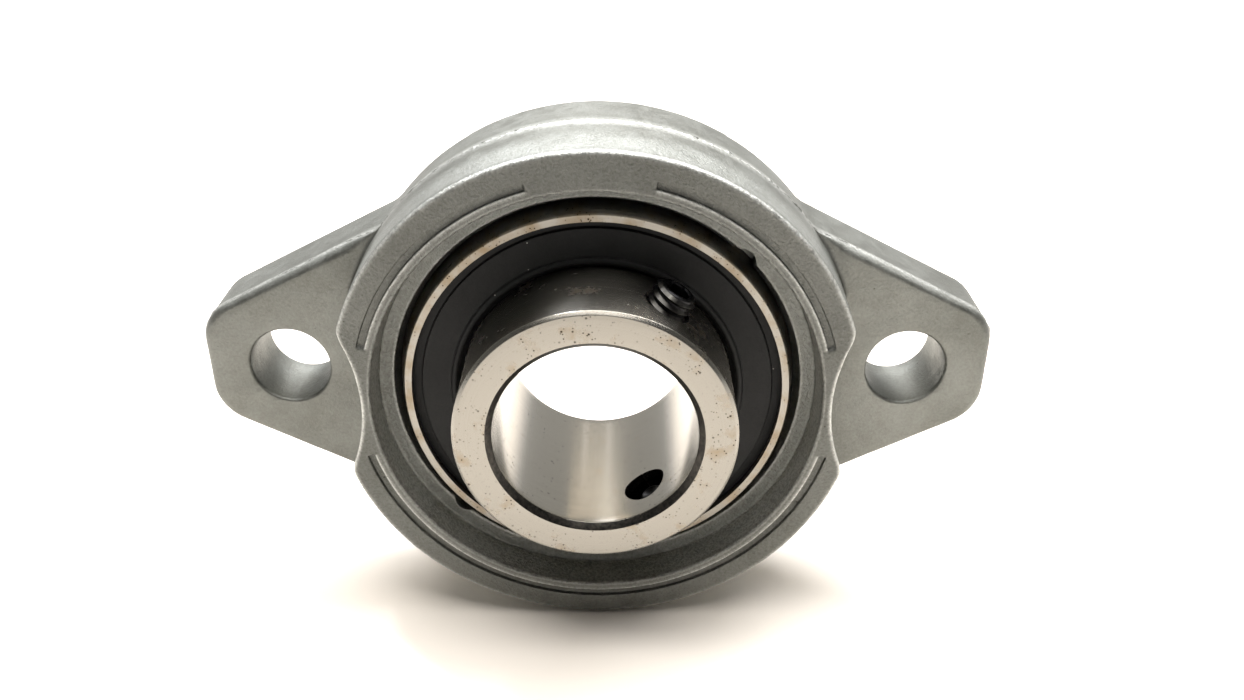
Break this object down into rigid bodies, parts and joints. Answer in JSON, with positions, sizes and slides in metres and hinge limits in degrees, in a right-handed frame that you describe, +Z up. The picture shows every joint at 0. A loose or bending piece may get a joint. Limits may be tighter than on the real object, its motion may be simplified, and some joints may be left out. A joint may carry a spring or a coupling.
{
  "type": "flange mount bearing",
  "caption": "Rhombus flange bearing unit: die-cast housing with two bolt holes and a self-aligning sealed ball insert whose long inner ring is locked to the shaft by set screws.",
  "frame": {"origin": "centre of the two bolt holes on the mounting face, on the bearing axis", "axes": "+X through the bolt holes, bearing axis along Y with the long nose of the inner ring towards -Y, +Z up with the unit standing on its rim"},
  "size_m": [0.071, 0.0195, 0.0458],
  "materials": {
    "die_cast": "satin, shot-blasted die casting",
    "ring_steel": "ground",
    "nose_steel": "ground",
    "cage_steel": "pressed",
    "rivet_steel": "headed",
    "core_steel": "pressed",
    "seal_rubber": "moulded",
    "screw_black": "black oxide",
    "ball_steel": "lapped"
  },
  "bodies": {
    "housing": {"housing": "die_cast"},
    "outer_ring": {"outer_ring": "ring_steel", "seal_core_front": "core_steel", "seal_core_back": "core_steel", "seal_rubber_front": "seal_rubber", "seal_rubber_back": "seal_rubber"},
    "inner_ring": {"inner_ring": "nose_steel"},
    "cage": {"cage_front_half": "cage_steel", "cage_back_half": "cage_steel", "cage_rivets": "rivet_steel"},
    "ball_01": {"ball_01": "ball_steel"},
    "ball_02": {"ball_02": "ball_steel"},
    "ball_03": {"ball_03": "ball_steel"},
    "ball_04": {"ball_04": "ball_steel"},
    "ball_05": {"ball_05": "ball_steel"},
    "ball_06": {"ball_06": "ball_steel"},
    "ball_07": {"ball_07": "ball_steel"},
    "ball_08": {"ball_08": "ball_steel"},
    "ball_09": {"ball_09": "ball_steel"},
    "ball_10": {"ball_10": "ball_steel"},
    "set_screw_upper": {"set_screw_upper": "screw_black"},
    "set_screw_lower": {"set_screw_lower": "screw_black"}
  },
  "joints": [
    {"name": "insert_tilt", "type": "hinge", "parent": "housing", "child": "outer_ring", "pos_m": [0, -0.007, 0], "axis": [1, 0, 0], "range_deg": [-3, 3]},
    {"name": "inner_ring_spin", "type": "hinge", "parent": "outer_ring", "child": "inner_ring", "pos_m": [0, -0.007, 0], "axis": [0, 1, 0], "continuous": true},
    {"name": "cage_spin", "type": "hinge", "parent": "outer_ring", "child": "cage", "pos_m": [0, -0.007, 0], "axis": [0, 1, 0], "continuous": true},
    {"name": "ball_01_spin", "type": "hinge", "parent": "cage", "child": "ball_01", "pos_m": [0.01284, -0.007, 0.00203], "axis": [0, 1, 0], "continuous": true},
    {"name": "ball_02_spin", "type": "hinge", "parent": "cage", "child": "ball_02", "pos_m": [0.00919, -0.007, 0.00919], "axis": [0, 1, 0], "continuous": true},
    {"name": "ball_03_spin", "type": "hinge", "parent": "cage", "child": "ball_03", "pos_m": [0.00203, -0.007, 0.01284], "axis": [0, 1, 0], "continuous": true},
    {"name": "ball_04_spin", "type": "hinge", "parent": "cage", "child": "ball_04", "pos_m": [-0.0059, -0.007, 0.01158], "axis": [0, 1, 0], "continuous": true},
    {"name": "ball_05_spin", "type": "hinge", "parent": "cage", "child": "ball_05", "pos_m": [-0.01158, -0.007, 0.0059], "axis": [0, 1, 0], "continuous": true},
    {"name": "ball_06_spin", "type": "hinge", "parent": "cage", "child": "ball_06", "pos_m": [-0.01284, -0.007, -0.00203], "axis": [0, 1, 0], "continuous": true},
    {"name": "ball_07_spin", "type": "hinge", "parent": "cage", "child": "ball_07", "pos_m": [-0.00919, -0.007, -0.00919], "axis": [0, 1, 0], "continuous": true},
    {"name": "ball_08_spin", "type": "hinge", "parent": "cage", "child": "ball_08", "pos_m": [-0.00203, -0.007, -0.01284], "axis": [0, 1, 0], "continuous": true},
    {"name": "ball_09_spin", "type": "hinge", "parent": "cage", "child": "ball_09", "pos_m": [0.0059, -0.007, -0.01158], "axis": [0, 1, 0], "continuous": true},
    {"name": "ball_10_spin", "type": "hinge", "parent": "cage", "child": "ball_10", "pos_m": [0.01158, -0.007, -0.0059], "axis": [0, 1, 0], "continuous": true},
    {"name": "set_screw_upper_travel", "type": "slide", "parent": "inner_ring", "child": "set_screw_upper", "axis": [0.5, 0, 0.866], "range_m": [-0.0009, 0.0006]},
    {"name": "set_screw_lower_travel", "type": "slide", "parent": "inner_ring", "child": "set_screw_lower", "axis": [0.5, 0, -0.866], "range_m": [-0.0009, 0.0006]}
  ],
  "couplings": [
    {"joint": "cage_spin", "follows": "inner_ring_spin", "ratio": 0.40841},
    {"joint": "ball_01_spin", "follows": "inner_ring_spin", "ratio": -2.6381},
    {"joint": "ball_02_spin", "follows": "inner_ring_spin", "ratio": -2.6381},
    {"joint": "ball_03_spin", "follows": "inner_ring_spin", "ratio": -2.6381},
    {"joint": "ball_04_spin", "follows": "inner_ring_spin", "ratio": -2.6381},
    {"joint": "ball_05_spin", "follows": "inner_ring_spin", "ratio": -2.6381},
    {"joint": "ball_06_spin", "follows": "inner_ring_spin", "ratio": -2.6381},
    {"joint": "ball_07_spin", "follows": "inner_ring_spin", "ratio": -2.6381},
    {"joint": "ball_08_spin", "follows": "inner_ring_spin", "ratio": -2.6381},
    {"joint": "ball_09_spin", "follows": "inner_ring_spin", "ratio": -2.6381},
    {"joint": "ball_10_spin", "follows": "inner_ring_spin", "ratio": -2.6381}
  ]
}
